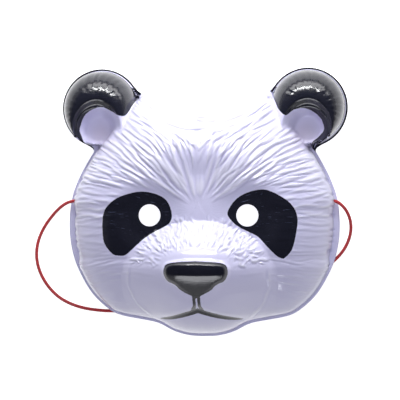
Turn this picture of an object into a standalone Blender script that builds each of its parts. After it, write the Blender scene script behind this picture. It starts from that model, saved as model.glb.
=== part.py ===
# A bear's face mask formed from one thin plastic sheet, with an elastic cord from side to side.
# Metres. +X is the viewer's right, +Y runs up to the crown and +Z comes out of the face.
# The mask lies face up on its trimmed rim. The origin is on the surface under it, halfway
# between the chin and the tops of the ears.
import math

import bmesh
import bpy
import numpy as np

# Sheet and rim
SHEET = 0.0010  # thickness
FLANGE = 0.0022  # flat strip left outside the fold by the trim
TEMPLE_FLANGE = 0.0046  # the same strip beside the cheeks
TEMPLE_TOP = 0.0010  # where the wider strip starts, below the cord holes
TEMPLE_BOTTOM = -0.0480  # and where it ends
TEMPLE_EASE = 0.0080  # length over which it widens
WALL_RUN = 0.0026  # how far the steep side wall leans in
RIM_LIFT = 0.0045  # how far the rim bows up off the surface beside the cheeks
LIFT_DEGREES = (22, 36, 98, 120)  # start, full, full, end of that bow, counted from the chin

# Head
HEAD_HALF_WIDTH = 0.1010
CROWN_REACH = 0.0860  # origin to the rim at the crown
CHIN_REACH = 0.1005  # origin to the rim at the chin
DOME_HEIGHT = 0.0500  # brow level over the rim
DOME_RUN = 0.0600  # width of the rounded side of the dome

# Ears
EAR_RADIUS = 0.0300
EAR_ACROSS = 0.0775
EAR_UP = CHIN_REACH - EAR_RADIUS
EAR_HEIGHT = 0.0265  # crest of the rolled edge
EAR_CREST = 0.78  # share of the roll's width at which its crest lies
EAR_LIP = 0.0225  # level where the roll drops into the dish
DISH_RADIUS = 0.0165
DISH_DROP = 0.0165  # centre of the ear to the centre of the dish
DISH_FLOOR = 0.0120
DISH_SLOPE = 0.0080  # width of the dish's rounded side

# Muzzle
MUZZLE_CENTRE = -0.0580
MUZZLE_HALF_WIDTH = 0.0570
MUZZLE_TOP_REACH = 0.0450  # centre to where it leaves the bridge
MUZZLE_CHIN_REACH = 0.0640
MUZZLE_RISE = 0.0255
LIP_STEP = 0.0035  # drop from the upper lip to the chin
LIP_EASE = 0.0040
MOUTH_UP = -0.0775  # middle of the mouth line
MOUTH_DROOP = 0.0080  # how much lower its corners are
MOUTH_HALF_WIDTH = 0.0310

# Nose pad
NOSE_TOP = -0.0415
NOSE_HALF_WIDTH = 0.0225
NOSE_LENGTH = 0.0260
NOSE_RISE = 0.0042
NOSE_EDGE = 0.0045

# Eyes
EYE_ACROSS = 0.0352
EYE_UP = -0.0095
EYE_HOLE = 0.0158
EYE_SOCKET = 0.0140
EYE_DEPTH = 0.0022

# Elastic cord
CORD = 0.0024
GAP = 0.0003
CORD_HOLE = CORD + 2 * GAP
HOLE_UP = 0.0008
HOLE_RISE = 0.0030  # flange to the middle of the cord hole
KNOT = 0.0058
CORD_POINTS = 80

# Mesh
RINGS = 24
RIM_RINGS = 3
FACE_RINGS = 12  # rings of the round middle of the face, inside the ears' roots
FACE_SHARE = 0.80  # how far that middle reaches to the head's edge
CORNER_PULL = 0.07  # how far the columns of the grid crowd towards its corners
ROUND = 24

# Right half of the head's edge, from crown to chin: shares of HEAD_HALF_WIDTH, and of
# CROWN_REACH above the origin or CHIN_REACH below it.
HEAD_EDGE = (
    (0.000, 1.000),
    (0.250, 0.988),
    (0.475, 0.935),
    (0.620, 0.780),
    (0.720, 0.620),
    (0.800, 0.485),
    (0.865, 0.360),
    (0.930, 0.210),
    (0.978, 0.060),
    (1.000, -0.100),
    (0.998, -0.260),
    (0.970, -0.410),
    (0.915, -0.545),
    (0.825, -0.690),
    (0.705, -0.800),
    (0.620, -0.842),
    (0.465, -0.875),
    (0.335, -0.905),
    (0.225, -0.962),
    (0.110, -0.994),
    (0.000, -1.000),
)

# Right half of the nose pad's edge, from top to bottom: shares of NOSE_HALF_WIDTH and NOSE_LENGTH.
NOSE_SIDE = (
    (0.00, 0.00),
    (0.60, 0.03),
    (0.92, 0.10),
    (1.00, 0.30),
    (0.90, 0.52),
    (0.64, 0.64),
    (0.44, 0.80),
    (0.00, 1.00),
)

# Soft swells of the face: shares of HEAD_HALF_WIDTH across and wide, of CHIN_REACH up and high,
# and of DOME_HEIGHT in rise.
SWELLS = (
    # name, across, up, half width, half height, rise
    ("brow", 0.00, 0.40, 0.60, 0.16, 0.070),
    ("brow side", 0.42, 0.20, 0.22, 0.16, 0.035),
    ("cheek", 0.62, -0.45, 0.25, 0.28, 0.060),
    ("bridge", 0.00, -0.08, 0.16, 0.20, 0.030),
    ("chin", 0.00, -0.92, 0.22, 0.08, 0.060),
)

# Route of the cord from the left hole round to the right one, and under the rim between.
CORD_ROUTE = (
    (-0.0957, 0.0008, 0.0085),
    (-0.0985, 0.0006, 0.0083),
    (-0.1030, -0.0008, 0.0075),
    (-0.1080, -0.0038, 0.0052),
    (-0.1135, -0.0088, 0.0026),
    (-0.1188, -0.0152, 0.0014),
    (-0.1228, -0.0218, 0.0013),
    (-0.1257, -0.0290, 0.0013),
    (-0.1271, -0.0362, 0.0013),
    (-0.1270, -0.0435, 0.0013),
    (-0.1252, -0.0512, 0.0013),
    (-0.1218, -0.0585, 0.0013),
    (-0.1168, -0.0655, 0.0013),
    (-0.1098, -0.0720, 0.0013),
    (-0.1010, -0.0768, 0.0013),
    (-0.0910, -0.0799, 0.0013),
    (-0.0800, -0.0815, 0.0013),
    (-0.0685, -0.0820, 0.0013),
    (-0.0500, -0.0813, 0.0013),
    (-0.0280, -0.0785, 0.0013),
    (-0.0040, -0.0738, 0.0013),
    (0.0200, -0.0688, 0.0013),
    (0.0430, -0.0642, 0.0013),
    (0.0640, -0.0590, 0.0013),
    (0.0810, -0.0530, 0.0013),
    (0.0925, -0.0470, 0.0013),
    (0.1005, -0.0400, 0.0013),
    (0.1055, -0.0330, 0.0014),
    (0.1085, -0.0255, 0.0020),
    (0.1094, -0.0185, 0.0034),
    (0.1084, -0.0120, 0.0053),
    (0.1058, -0.0062, 0.0071),
    (0.1020, -0.0018, 0.0081),
    (0.0985, 0.0004, 0.0084),
    (0.0957, 0.0008, 0.0085),
)


def ease(share):
    # Rises from 0 to 1 with a level start and end.
    share = np.clip(share, 0.0, 1.0)
    return share * share * (3.0 - 2.0 * share)


def quarter_round(share):
    # A quarter ellipse: upright at 0 and level at 1.
    share = np.clip(share, 0.0, 1.0)
    return np.sqrt(1.0 - (1.0 - share) ** 2)


def blend_up(first, second, width):
    # The higher of two surfaces, with the valley between them filled over a width.
    width = np.clip(np.minimum(first, second), 1e-6, width)
    near = np.clip(width - np.abs(first - second), 0.0, None) / width
    return np.maximum(first, second) + near * near * width / 4.0


def smooth_line(points, steps):
    # A Catmull-Rom curve through the points, with the same number of steps in each span.
    points = np.array(points, float)
    padded = np.vstack([2 * points[0] - points[1], points, 2 * points[-1] - points[-2]])
    share = np.linspace(0.0, 1.0, steps, endpoint=False)[:, None]
    spans = []
    for before, start, end, after in zip(padded, padded[1:], padded[2:], padded[3:]):
        bend = (end - before) * share + (2 * before - 5 * start + 4 * end - after) * share**2
        twist = (3 * (start - end) + after - before) * share**3
        spans.append(start + 0.5 * (bend + twist))
    return np.vstack(spans + [points[-1:]])


def mirrored(half):
    # A closed outline from its right half, which starts and ends on the middle.
    left = half[-2:0:-1] * np.array([-1.0, 1.0])
    return np.vstack([half, left])


def head_outline():
    rows = []
    for across, up in HEAD_EDGE:
        reach = CROWN_REACH if up > 0 else CHIN_REACH
        rows.append((across * HEAD_HALF_WIDTH, up * reach))
    return mirrored(smooth_line(rows, 4))


def nose_outline():
    rows = [(across * NOSE_HALF_WIDTH, NOSE_TOP - down * NOSE_LENGTH) for across, down in NOSE_SIDE]
    return mirrored(smooth_line(rows, 3))


def depth_inside(outline, x, y):
    # Distance from each point to the outline, positive inside it.
    start, end = outline, np.roll(outline, -1, axis=0)
    run = end - start
    from_x = x[:, None] - start[:, 0]
    from_y = y[:, None] - start[:, 1]
    share = (from_x * run[:, 0] + from_y * run[:, 1]) / (run**2).sum(axis=1)
    share = np.clip(share, 0.0, 1.0)
    away = np.hypot(from_x - share * run[:, 0], from_y - share * run[:, 1]).min(axis=1)
    spans = (start[:, 1] > y[:, None]) != (end[:, 1] > y[:, None])
    rise = np.where(run[:, 1] == 0, 1.0, run[:, 1])
    left_of = from_x < run[:, 0] * from_y / rise
    inside = (spans & left_of).sum(axis=1) % 2 == 1
    return np.where(inside, away, -away)


def ear_depth(x, y):
    return EAR_RADIUS - np.hypot(np.abs(x) - EAR_ACROSS, y - EAR_UP)


def flange_width(y):
    wide = ease((TEMPLE_TOP - y) / TEMPLE_EASE) * ease((y - TEMPLE_BOTTOM) / TEMPLE_EASE)
    return FLANGE + (TEMPLE_FLANGE - FLANGE) * wide


def rim_lift(x, y):
    start, full, still, end = LIFT_DEGREES
    degrees = np.degrees(np.arctan2(np.abs(x), -y))
    return RIM_LIFT * ease((degrees - start) / (full - start)) * ease((end - degrees) / (end - still))


def head_radius(angle):
    # How far the head's own edge lies from the origin in each direction.
    head = head_outline()
    head_angle = np.arctan2(head[:, 1], head[:, 0])
    return np.interp(angle, head_angle, np.hypot(head[:, 0], head[:, 1]), period=2 * math.pi)


def ear_joints():
    # Where the right ear's round edge meets the head's edge: lower and upper joint.
    edge = head_outline()
    edge = edge[edge[:, 0] > 0]
    within = ear_depth(edge[:, 0], edge[:, 1]) > 0
    change = np.flatnonzero(within[1:] != within[:-1])
    upper, lower = edge[change[0]], edge[change[-1] + 1]
    return lower, upper


def trimmed_edge(angle):
    # A point of the trimmed edge for each direction, ears included, and the way in from it.
    around = np.stack([np.cos(angle), np.sin(angle)], axis=1)
    edge = head_radius(angle)[:, None] * around
    inward = -around
    lower, upper = ear_joints()
    first, last = math.atan2(lower[1], lower[0]), math.atan2(upper[1], upper[0])
    turn_first = math.atan2(lower[1] - EAR_UP, lower[0] - EAR_ACROSS)
    turn_last = math.atan2(upper[1] - EAR_UP, upper[0] - EAR_ACROSS)
    for side in (1, -1):
        share = (np.arctan2(around[:, 1], side * around[:, 0]) - first) / (last - first)
        turn = turn_first + share * (turn_last - turn_first)
        outward = np.stack([side * np.cos(turn), np.sin(turn)], axis=1)
        on_ear = ((share > 0) & (share < 1))[:, None]
        edge = np.where(on_ear, (side * EAR_ACROSS, EAR_UP) + EAR_RADIUS * outward, edge)
        inward = np.where(on_ear, -outward, inward)
    return edge, inward


def soft_trimmed_edge(angle):
    # The same edge with its corners at the ears rounded.
    spread = np.radians([-1.8, -0.9, 0.0, 0.9, 1.8])
    found = [trimmed_edge(angle + turn) for turn in spread]
    edge = sum(edge for edge, _ in found) / len(found)
    inward = sum(inward for _, inward in found)
    return edge, inward / np.linalg.norm(inward, axis=1)[:, None]


def ear_level(x, y):
    # The rolled edge of an ear and the dish inside it.
    outer = np.clip(ear_depth(x, y) - FLANGE, 0.0, None)
    to_dish = np.hypot(np.abs(x) - EAR_ACROSS, y - EAR_UP + DISH_DROP) - DISH_RADIUS
    share = outer / (outer + np.clip(to_dish, 1e-6, None))
    rolled = EAR_HEIGHT * quarter_round(share / EAR_CREST)
    rolled = rolled - (EAR_HEIGHT - EAR_LIP) * ease((share - EAR_CREST) / (1.0 - EAR_CREST))
    dished = EAR_LIP + (DISH_FLOOR - EAR_LIP) * ease(-to_dish / DISH_SLOPE)
    level = np.where(to_dish > 0, rolled, dished)
    return np.where(outer > 0, level, 0.0)


def face_form(x, y):
    # What stands on the dome of the head: swells, muzzle, lips and nose pad, less the eye sockets.
    form = np.zeros_like(x)
    for _, across, up, half_width, half_height, rise in SWELLS:
        off_x = (np.abs(x) - across * HEAD_HALF_WIDTH) / (half_width * HEAD_HALF_WIDTH)
        off_y = (y - up * CHIN_REACH) / (half_height * CHIN_REACH)
        form += rise * DOME_HEIGHT * np.exp(-(off_x**2 + off_y**2))
    reach = np.where(y > MUZZLE_CENTRE, MUZZLE_TOP_REACH, MUZZLE_CHIN_REACH)
    off = np.hypot(x / MUZZLE_HALF_WIDTH, (y - MUZZLE_CENTRE) / reach)
    form += MUZZLE_RISE * np.clip(1.0 - off**2.4, 0.0, None) ** 1.3
    mouth = MOUTH_UP - MOUTH_DROOP * (x / MOUTH_HALF_WIDTH) ** 2
    below = ease((mouth - y) / LIP_EASE + 0.5)
    form -= LIP_STEP * below * ease(2.0 - np.abs(x) / MOUTH_HALF_WIDTH)
    form += NOSE_RISE * ease(depth_inside(nose_outline(), x, y) / NOSE_EDGE + 0.5)
    from_eye = np.hypot(np.abs(x) - EYE_ACROSS, y - EYE_UP)
    return form - EYE_DEPTH * ease(2.0 - from_eye / EYE_SOCKET)


def sheet_level(x, y):
    # Height of the sheet's outer face inside the fold.
    depth = depth_inside(head_outline(), x, y) - flange_width(y)
    dome = DOME_HEIGHT * quarter_round(depth / DOME_RUN)
    dome = dome + face_form(x, y) * quarter_round(depth / DOME_RUN)
    level = blend_up(np.clip(dome, 0.0, None), ear_level(x, y), EAR_LIP / 5.0)
    lift = rim_lift(x, y)
    return SHEET + lift + level * (1.0 - lift / DOME_HEIGHT)


def ring_angle(across, up):
    # Direction of a point of the square grid, so that its square rings become round ones,
    # with more of the points in the corners, where the ears are.
    flat = np.abs(across) >= np.abs(up)
    small = np.where(flat, up, across) / np.where(flat, across, up)
    angle = np.where(flat, small, 2.0 - small) * math.pi / 4.0
    angle = angle + CORNER_PULL * np.sin(4.0 * angle)
    behind = np.where(flat, across < 0, up < 0)
    return angle + np.where(behind, math.pi, 0.0)


def sheet_points(across, up):
    # Where each point of a square grid of half width 1 goes on the sheet.
    ring = np.maximum(np.abs(across), np.abs(up))
    middle = ring < 0.5 / RINGS
    angle = np.where(middle, 0.0, ring_angle(across, np.where(middle, 1.0, up)))
    edge, inward = soft_trimmed_edge(angle)
    flange = flange_width(edge[:, 1])
    around = np.stack([np.cos(angle), np.sin(angle)], axis=1)
    face = (FACE_SHARE * head_radius(angle))[:, None] * around
    fold = edge + (flange + WALL_RUN)[:, None] * inward
    inner_rings = RINGS - RIM_RINGS
    share = ((ring * RINGS - FACE_RINGS) / (inner_rings - FACE_RINGS))[:, None]
    outer = face + np.clip(share, 0.0, 1.0) * (fold - face)
    place = np.where(share < 0, face * (ring * RINGS / FACE_RINGS)[:, None], outer)
    rim = np.rint(ring * RINGS) - inner_rings
    for step, inset in ((1, flange), (2, flange / 2), (3, 0.0 * flange)):
        place = np.where((rim == step)[:, None], edge + inset[:, None] * inward, place)
    x, y = place.T
    z = np.where(rim > 0, SHEET + rim_lift(x, y), sheet_level(x, y))
    return np.stack([x, y, z], axis=1)


def material(name, color, roughness, metallic=0.0):
    made = bpy.data.materials.new(name)
    made.use_nodes = True
    shader = made.node_tree.nodes["Principled BSDF"]
    shader.inputs["Base Color"].default_value = (*color, 1.0)
    shader.inputs["Roughness"].default_value = roughness
    shader.inputs["Metallic"].default_value = metallic
    made.diffuse_color = (*color, 1.0)
    return made


def new_object(name, data, collection, look=None):
    made = bpy.data.objects.new(name, data)
    collection.objects.link(made)
    if look:
        data.materials.append(look)
    return made


def cylinder_cutter(name, radius, length, centre, turn, collection):
    # A round cutter that stands along Z before its turn about Y.
    form = bmesh.new()
    bmesh.ops.create_cone(
        form, cap_ends=True, segments=ROUND, radius1=radius, radius2=radius, depth=length
    )
    mesh = bpy.data.meshes.new(name)
    form.to_mesh(mesh)
    form.free()
    cutter = new_object(name, mesh, collection)
    cutter.location = centre
    cutter.rotation_euler = (0.0, turn, 0.0)
    cutter.hide_render = True
    cutter.display_type = "WIRE"
    return cutter


def cut(target, cutter):
    boolean = target.modifiers.new(cutter.name, "BOOLEAN")
    boolean.operation = "DIFFERENCE"
    boolean.solver = "EXACT"
    boolean.object = cutter


def hole_place():
    # Middle of the right cord hole, on the outer face of the side wall.
    edge, _ = soft_trimmed_edge(np.array([math.atan2(HOLE_UP, HEAD_HALF_WIDTH)]))
    foot = float(edge[0, 0] - flange_width(edge[0, 1]))
    lift = float(rim_lift(foot, HOLE_UP))
    return foot, HOLE_UP, lift + SHEET + HOLE_RISE


def make_shell(parts, cutters):
    form = bmesh.new()
    bmesh.ops.create_grid(form, x_segments=2 * RINGS, y_segments=2 * RINGS, size=1.0)
    flat = np.array([vert.co for vert in form.verts])
    for vert, place in zip(form.verts, sheet_points(flat[:, 0], flat[:, 1])):
        vert.co = place
    mesh = bpy.data.meshes.new("mask_shell")
    form.to_mesh(mesh)
    form.free()
    mesh.shade_smooth()
    look = material("glossy white plastic", (0.72, 0.71, 0.84), 0.18)
    shell = new_object("mask_shell", mesh, parts, look)
    solid = shell.modifiers.new("sheet", "SOLIDIFY")
    solid.thickness = SHEET
    solid.offset = -1.0
    tall = 2 * DOME_HEIGHT + 2 * MUZZLE_RISE
    foot, up, level = hole_place()
    for side, name in ((-1, "left"), (1, "right")):
        eye = (side * EYE_ACROSS, EYE_UP, tall / 2)
        cut(shell, cylinder_cutter(f"eye_{name}", EYE_HOLE / 2, tall, eye, 0.0, cutters))
        hole = (side * foot, up, level)
        cutter = cylinder_cutter(
            f"cord_hole_{name}", CORD_HOLE / 2, 4 * WALL_RUN, hole, math.pi / 2, cutters
        )
        cut(shell, cutter)


def make_cord(parts):
    fine = smooth_line(CORD_ROUTE, 12)
    along = np.concatenate([[0.0], np.cumsum(np.linalg.norm(np.diff(fine, axis=0), axis=1))])
    even = np.linspace(0.0, along[-1], CORD_POINTS)
    places = np.stack([np.interp(even, along, fine[:, axis]) for axis in range(3)], axis=1)
    curve = bpy.data.curves.new("elastic_cord", "CURVE")
    curve.dimensions = "3D"
    curve.bevel_depth = CORD / 2
    curve.bevel_resolution = 2
    curve.use_fill_caps = True
    line = curve.splines.new("POLY")
    line.points.add(CORD_POINTS - 1)
    for point, place in zip(line.points, places):
        point.co = (*place, 1.0)
    new_object("elastic_cord", curve, parts, material("red elastic", (0.45, 0.03, 0.04), 0.6))


def make_knots(parts):
    look = material("red knot", (0.42, 0.03, 0.04), 0.65)
    foot, up, level = hole_place()
    lean = WALL_RUN * HOLE_RISE / float(DOME_HEIGHT * quarter_round(WALL_RUN / DOME_RUN))
    inner = foot - lean - SHEET - 2 * GAP - KNOT / 2
    for side, name in ((-1, "left"), (1, "right")):
        form = bmesh.new()
        bmesh.ops.create_uvsphere(form, u_segments=14, v_segments=8, radius=KNOT / 2)
        mesh = bpy.data.meshes.new(f"cord_knot_{name}")
        form.to_mesh(mesh)
        form.free()
        mesh.shade_smooth()
        knot = new_object(f"cord_knot_{name}", mesh, parts, look)
        knot.location = (side * inner, up, level)


def main():
    for old in list(bpy.data.objects):
        bpy.data.objects.remove(old)
    parts = bpy.data.collections.new("bear_mask")
    cutters = bpy.data.collections.new("cutters")
    for group in (parts, cutters):
        bpy.context.scene.collection.children.link(group)
    make_shell(parts, cutters)
    make_cord(parts)
    make_knots(parts)


main()
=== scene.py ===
import math

import bpy
import numpy as np
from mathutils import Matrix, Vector


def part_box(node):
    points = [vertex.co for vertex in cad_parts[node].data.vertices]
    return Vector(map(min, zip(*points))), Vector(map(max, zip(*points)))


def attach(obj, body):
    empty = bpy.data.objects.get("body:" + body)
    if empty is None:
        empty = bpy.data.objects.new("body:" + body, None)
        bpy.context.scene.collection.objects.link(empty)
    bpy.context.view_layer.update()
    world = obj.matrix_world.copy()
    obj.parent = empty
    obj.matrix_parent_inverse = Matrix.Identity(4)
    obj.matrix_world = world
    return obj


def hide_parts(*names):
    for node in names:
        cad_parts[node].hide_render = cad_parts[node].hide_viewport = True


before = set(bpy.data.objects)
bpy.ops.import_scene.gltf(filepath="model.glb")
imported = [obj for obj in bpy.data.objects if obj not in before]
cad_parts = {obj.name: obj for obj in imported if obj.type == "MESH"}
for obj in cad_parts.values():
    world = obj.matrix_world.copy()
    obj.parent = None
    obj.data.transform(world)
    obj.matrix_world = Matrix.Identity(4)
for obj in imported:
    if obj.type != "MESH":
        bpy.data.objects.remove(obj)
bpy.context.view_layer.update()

print("panda mask: frame loaded, nodes", sorted(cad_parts))

# The camera comes first.
photoView = {
    "yaw": 5.2,  # degrees that the camera stands over to the viewer's right
    "distance": 1.10,  # metres from the surface
    "lens": 132.0,
    "sensor": 36.0,
    "pixels": 400,  # width of the photograph
    "aim": (-0.0032, 0.0015, 0.0),
}


def makeCamera(settings):
    # Stands over the mask on a line that leans by the yaw, with the crown at the top of the picture.
    data = bpy.data.cameras.new("photoCamera")
    data.lens = settings["lens"]
    data.sensor_width = settings["sensor"]
    data.clip_start = 0.05
    camera = bpy.data.objects.new("photoCamera", data)
    bpy.context.collection.objects.link(camera)
    yaw = math.radians(settings["yaw"])
    aim = Vector(settings["aim"])
    camera.location = aim + settings["distance"] * Vector((math.sin(yaw), 0.0, math.cos(yaw)))
    camera.rotation_euler = (0.0, yaw, 0.0)
    bpy.context.scene.camera = camera


makeCamera(photoView)
print("camera placed")


class Wire:
    # One output of a material's node. Plain arithmetic on it adds Math nodes.
    def __init__(self, look, socket):
        self.look = look
        self.socket = socket

    def math(self, operation, *values):
        return self.look.node("ShaderNodeMath", {"operation": operation}, dict(enumerate(values)))

    def __add__(self, other):
        return self.math("ADD", self, other)

    def __radd__(self, other):
        return self.math("ADD", other, self)

    def __sub__(self, other):
        return self.math("SUBTRACT", self, other)

    def __rsub__(self, other):
        return self.math("SUBTRACT", other, self)

    def __mul__(self, other):
        return self.math("MULTIPLY", self, other)

    def __rmul__(self, other):
        return self.math("MULTIPLY", other, self)

    def sine(self):
        return self.math("SINE", self)

    def smooth(self, low, high):
        # 0 below low, 1 above high, with a soft rise between.
        values = {0: self, 1: low, 2: high, 3: 0.0, 4: 1.0}
        return self.look.node("ShaderNodeMapRange", {"interpolation_type": "SMOOTHSTEP"}, values)


class Look:
    # A material whose nodes are written as expressions.
    def __init__(self, name):
        self.material = bpy.data.materials.new(name)
        self.material.use_nodes = True
        self.tree = self.material.node_tree
        self.shader = self.tree.nodes["Principled BSDF"]

    def node(self, kind, settings, values, output=0):
        made = self.tree.nodes.new(kind)
        for name, value in settings.items():
            setattr(made, name, value)
        for name, value in values.items():
            self.join(made.inputs[name], value)
        return Wire(self, made.outputs[output])

    def join(self, socket, value):
        if isinstance(value, Wire):
            self.tree.links.new(value.socket, socket)
        else:
            socket.default_value = value

    def mix(self, factor, first, second):
        # Colours mixed by a factor.
        settings = {"data_type": "RGBA", "clamp_factor": True}
        return self.node("ShaderNodeMix", settings, {0: factor, 6: first, 7: second}, 2)

    def attribute(self, name):
        return self.node("ShaderNodeAttribute", {"attribute_name": name}, {}, 2)

    def place(self):
        return self.node("ShaderNodeTexCoord", {}, {}, 3)

    def noise(self, place, scale, detail=2.0, stretch=(1.0, 1.0, 1.0)):
        turned = self.node("ShaderNodeMapping", {}, {"Vector": place, "Scale": stretch})
        return self.node("ShaderNodeTexNoise", {}, {"Vector": turned, "Scale": scale, "Detail": detail})

    def bump(self, height, strength, distance):
        values = {"Height": height, "Strength": strength, "Distance": distance}
        return self.node("ShaderNodeBump", {}, values)

    def hairNoise(self, across, along, aside, detail):
        # Noise drawn out along the lie of the fur.
        values = {0: self.attribute("hairAcross") * across, 1: self.attribute("hairAlong") * along, 2: aside}
        return self.noise(self.node("ShaderNodeCombineXYZ", {}, values), 1.0, detail)

    def finish(self, values):
        for name, value in values.items():
            self.join(self.shader.inputs[name], value)
        return self.material


def newPiece(name, points, faces, look):
    # A smooth mesh that rides on the body and takes a material slot.
    mesh = bpy.data.meshes.new(name)
    mesh.from_pydata(points, [], faces)
    mesh.shade_smooth()
    mesh.materials.append(look)
    piece = bpy.data.objects.new(name, mesh)
    bpy.context.collection.objects.link(piece)
    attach(piece, "root")
    return piece


def ease(share):
    # Rises from 0 to 1 with a level start and end.
    share = np.clip(share, 0.0, 1.0)
    return share * share * (3.0 - 2.0 * share)


def smoothLine(points, steps):
    # A Catmull-Rom curve through the points, with the same number of steps in each span.
    points = np.array(points, float)
    padded = np.vstack([2 * points[0] - points[1], points, 2 * points[-1] - points[-2]])
    share = np.linspace(0.0, 1.0, steps, endpoint=False)[:, None]
    spans = []
    for before, start, end, after in zip(padded, padded[1:], padded[2:], padded[3:]):
        bend = (end - before) * share + (2 * before - 5 * start + 4 * end - after) * share**2
        twist = (3 * (start - end) + after - before) * share**3
        spans.append(start + 0.5 * (bend + twist))
    return np.vstack(spans + [points[-1:]])


elastic = {
    "diameter": 0.0024,
    "rings": 420,
    "sides": 14,
    "braidPitch": 0.0042,  # length of one turn of the jacket's yarn
    "braidYarns": 8,  # yarns each way round the cord
    "yarnRise": 0.00007,
    "red": (0.60, 0.018, 0.022, 1.0),
    # darker red painted as shade in the gaps between the yarns
    "gapShadeRed": (0.26, 0.006, 0.010, 1.0),
    "wornRed": (0.66, 0.05, 0.06, 1.0),
    "sheenTint": (1.0, 0.45, 0.45, 1.0),
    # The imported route, in metres: left hole, round the left, under the rim, up on the right.
    "route": [
        (-0.0957, 0.0008, 0.0085),
        (-0.0985, 0.0006, 0.0083),
        (-0.1030, -0.0008, 0.0075),
        (-0.1080, -0.0038, 0.0052),
        (-0.1135, -0.0088, 0.0026),
        (-0.1188, -0.0152, 0.0014),
        (-0.1228, -0.0218, 0.0013),
        (-0.1257, -0.0290, 0.0013),
        (-0.1271, -0.0362, 0.0013),
        (-0.1270, -0.0435, 0.0013),
        (-0.1252, -0.0512, 0.0013),
        (-0.1218, -0.0585, 0.0013),
        (-0.1168, -0.0655, 0.0013),
        (-0.1098, -0.0720, 0.0013),
        (-0.1010, -0.0768, 0.0013),
        (-0.0910, -0.0799, 0.0013),
        (-0.0800, -0.0815, 0.0013),
        (-0.0685, -0.0820, 0.0013),
        (-0.0500, -0.0813, 0.0013),
        (-0.0280, -0.0785, 0.0013),
        (-0.0040, -0.0738, 0.0013),
        (0.0200, -0.0688, 0.0013),
        (0.0430, -0.0642, 0.0013),
        (0.0640, -0.0590, 0.0013),
        (0.0810, -0.0530, 0.0013),
        (0.0925, -0.0470, 0.0013),
        (0.1005, -0.0400, 0.0013),
        (0.1055, -0.0330, 0.0014),
        (0.1085, -0.0255, 0.0020),
        (0.1094, -0.0185, 0.0034),
        (0.1084, -0.0120, 0.0053),
        (0.1058, -0.0062, 0.0071),
        (0.1020, -0.0018, 0.0081),
        (0.0985, 0.0004, 0.0084),
        (0.0957, 0.0008, 0.0085),
    ],
    "knotSize": 0.00078,  # scale of the knot's loop
    "knotDepth": 1.15,  # how much the loop is drawn out along the cord
    "knotSqueeze": 0.92,  # share of the cord's thickness left in the tight knot
    "knotRings": 120,
}


def elasticLook(settings):
    # Red yarns crossing both ways round the cord, with painted shade in the gaps between and a soft fuzz.
    look = Look("braidedRedElastic")
    place = look.node("ShaderNodeUVMap", {"uv_map": "braid"}, {})
    along = look.node("ShaderNodeSeparateXYZ", {}, {0: place})
    around = Wire(look, along.socket.node.outputs[1]) * settings["braidYarns"]
    right = ((along + around) * (2 * math.pi)).sine()
    left = ((along - around) * (2 * math.pi)).sine()
    woven = (right * left) * 0.5 + 0.5
    fuzz = look.noise(look.place(), 2600.0, 3.0)
    worn = look.noise(look.place(), 90.0, 2.0)
    # painted shade: the darker red goes where the yarns part, mixed with random fuzz
    shade = look.mix(woven * 0.75 + fuzz * 0.35, settings["gapShadeRed"], settings["red"])
    shade = look.mix((worn - 0.45) * 0.8, shade, settings["wornRed"])
    return look.finish(
        {
            "Base Color": shade,
            "Roughness": 0.62 + fuzz * 0.2,
            "Normal": look.bump(woven + fuzz * 0.4, 0.8, settings["yarnRise"]),
            "Sheen Weight": 0.35,
            "Sheen Roughness": 0.5,
            "Sheen Tint": settings["sheenTint"],
        }
    )


def tube(path, radius, sides, closed):
    # A circle carried along the path, kept square to it by turning the last frame the least.
    ahead = np.roll(path, -1, axis=0) - np.roll(path, 1, axis=0)
    if not closed:
        ahead[0] = path[1] - path[0]
        ahead[-1] = path[-1] - path[-2]
    ahead /= np.linalg.norm(ahead, axis=1)[:, None]
    up = np.zeros_like(path)
    last = np.cross(ahead[0], (0.3, 0.5, 0.8))
    for row, way in enumerate(ahead):
        last = last - way * (last @ way)
        last = last / np.linalg.norm(last)
        up[row] = last
    side = np.cross(ahead, up)
    turn = np.linspace(0.0, 2 * math.pi, sides, endpoint=False)
    ring = np.cos(turn)[None, :, None] * up[:, None] + np.sin(turn)[None, :, None] * side[:, None]
    return path[:, None] + radius * ring


def tubeFaces(rows, sides, closed):
    # Quads between neighbouring circles, and one face as a cap at each open end.
    row, step = np.meshgrid(np.arange(rows if closed else rows - 1), np.arange(sides), indexing="ij")
    after = (row + 1) % rows
    beside = (step + 1) % sides
    here, there = row * sides, after * sides
    quads = np.stack([here + step, there + step, there + beside, here + beside], -1)
    faces = [tuple(face) for face in quads.reshape(-1, 4)[:, ::-1].tolist()]
    if not closed:
        faces.append(tuple(range(sides)))
        faces.append(tuple(range(rows * sides - 1, (rows - 1) * sides - 1, -1)))
    return faces


def addBraidMap(piece, along, sides):
    # Lengths in yarn turns one way and shares of the circle the other.
    mesh = piece.data
    layer = mesh.uv_layers.new(name="braid")
    owner = np.zeros(len(mesh.loops), dtype=np.int32)
    mesh.loops.foreach_get("vertex_index", owner)
    step = (owner % sides) / sides
    start = np.zeros(len(mesh.polygons), dtype=np.int32)
    count = np.zeros(len(mesh.polygons), dtype=np.int32)
    mesh.polygons.foreach_get("loop_start", start)
    mesh.polygons.foreach_get("loop_total", count)
    face = np.repeat(np.arange(len(start)), count)
    high = np.maximum.reduceat(step, start)[face]
    step = np.where((step == 0) & (high > 0.5), 1.0, step)
    layer.data.foreach_set("uv", np.stack([along[owner // sides], step], axis=1).ravel())


def orientOut(piece):
    # Turns the faces outwards where the carried circle wound the other way.
    mesh = piece.data
    points = np.array([corner.co for corner in mesh.vertices])
    tri = np.array([face.vertices[:3] for face in mesh.polygons])
    first, second, third = points[tri[:, 0]], points[tri[:, 1]], points[tri[:, 2]]
    volume = np.einsum("ij,ij->i", first, np.cross(second, third)).sum()
    if volume < 0:
        mesh.flip_normals()


def lengthsAlong(path):
    # How far along the path each of its points lies.
    return np.concatenate([[0.0], np.cumsum(np.linalg.norm(np.diff(path, axis=0), axis=1))])


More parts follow.
